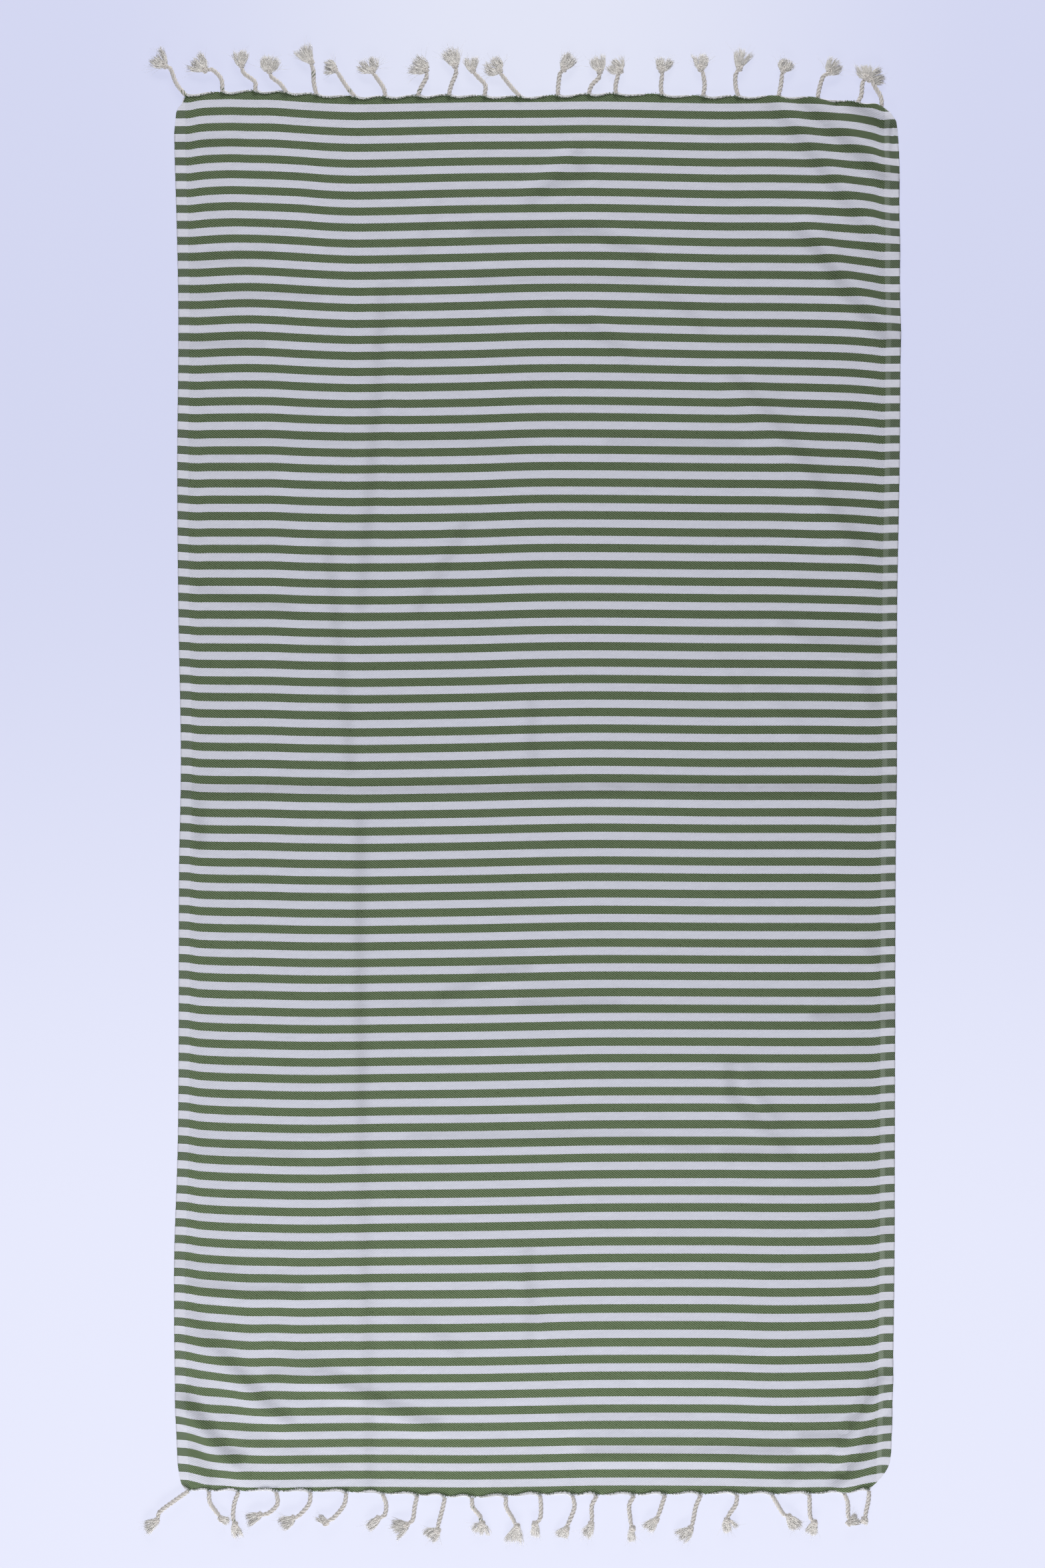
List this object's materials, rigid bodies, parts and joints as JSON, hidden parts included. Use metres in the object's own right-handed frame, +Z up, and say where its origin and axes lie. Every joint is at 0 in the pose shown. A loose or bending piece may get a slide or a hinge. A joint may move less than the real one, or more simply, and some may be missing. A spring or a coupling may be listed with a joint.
{
  "type": "fouta towel",
  "caption": "Flat-woven cotton fouta towel laid out flat, with crosswise stripes and knotted, frayed tassels at both ends.",
  "frame": {"origin": "on the surface that the towel lies on, under the middle of the cloth", "axes": "+Y along the towel to its far end, +X across it to the right, +Z up"},
  "size_m": [0.9554, 1.8837, 0.0077],
  "materials": {
    "striped_twill": "cotton twill in green and off-white stripes",
    "cotton_fringe": "undyed cotton yarn, twisted and frayed"
  },
  "bodies": {
    "root": {"cloth": "striped_twill", "fringe_far": "cotton_fringe", "fringe_near": "cotton_fringe"}
  },
  "joints": []
}
